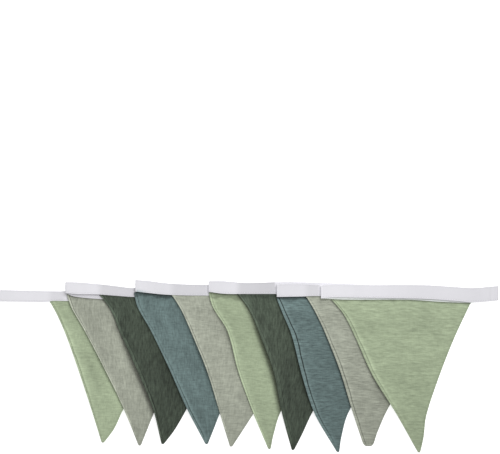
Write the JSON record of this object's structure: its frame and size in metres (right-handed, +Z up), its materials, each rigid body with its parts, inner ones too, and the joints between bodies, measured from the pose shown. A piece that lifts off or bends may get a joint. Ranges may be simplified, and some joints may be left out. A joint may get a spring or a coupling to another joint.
{
  "type": "folded fabric bunting",
  "caption": "Garland of triangular muslin pennants on a white binding tape, folded back and forth into a fanned stack that lies flat.",
  "frame": {"origin": "on the surface it lies on, under the middle of the folded garland's box", "axes": "+X along the tape towards its free end on the top layer, +Y from the pennants' tips to the tape, +Z up"},
  "size_m": [0.82, 0.2227, 0.0173],
  "materials": {
    "muslin_light_green": "matte crinkled muslin",
    "muslin_beige": "matte crinkled muslin",
    "muslin_dark_green": "matte crinkled muslin",
    "muslin_blue_grey": "matte crinkled muslin",
    "tape_white": "matte plain-woven cotton"
  },
  "bodies": {
    "root": {"pennant_01": "muslin_light_green", "pennant_02": "muslin_beige", "pennant_03": "muslin_dark_green", "pennant_04": "muslin_blue_grey", "pennant_05": "muslin_beige", "pennant_06": "muslin_light_green", "pennant_07": "muslin_dark_green", "pennant_08": "muslin_blue_grey", "pennant_09": "muslin_beige", "pennant_10": "muslin_light_green", "tape": "tape_white"}
  },
  "joints": []
}
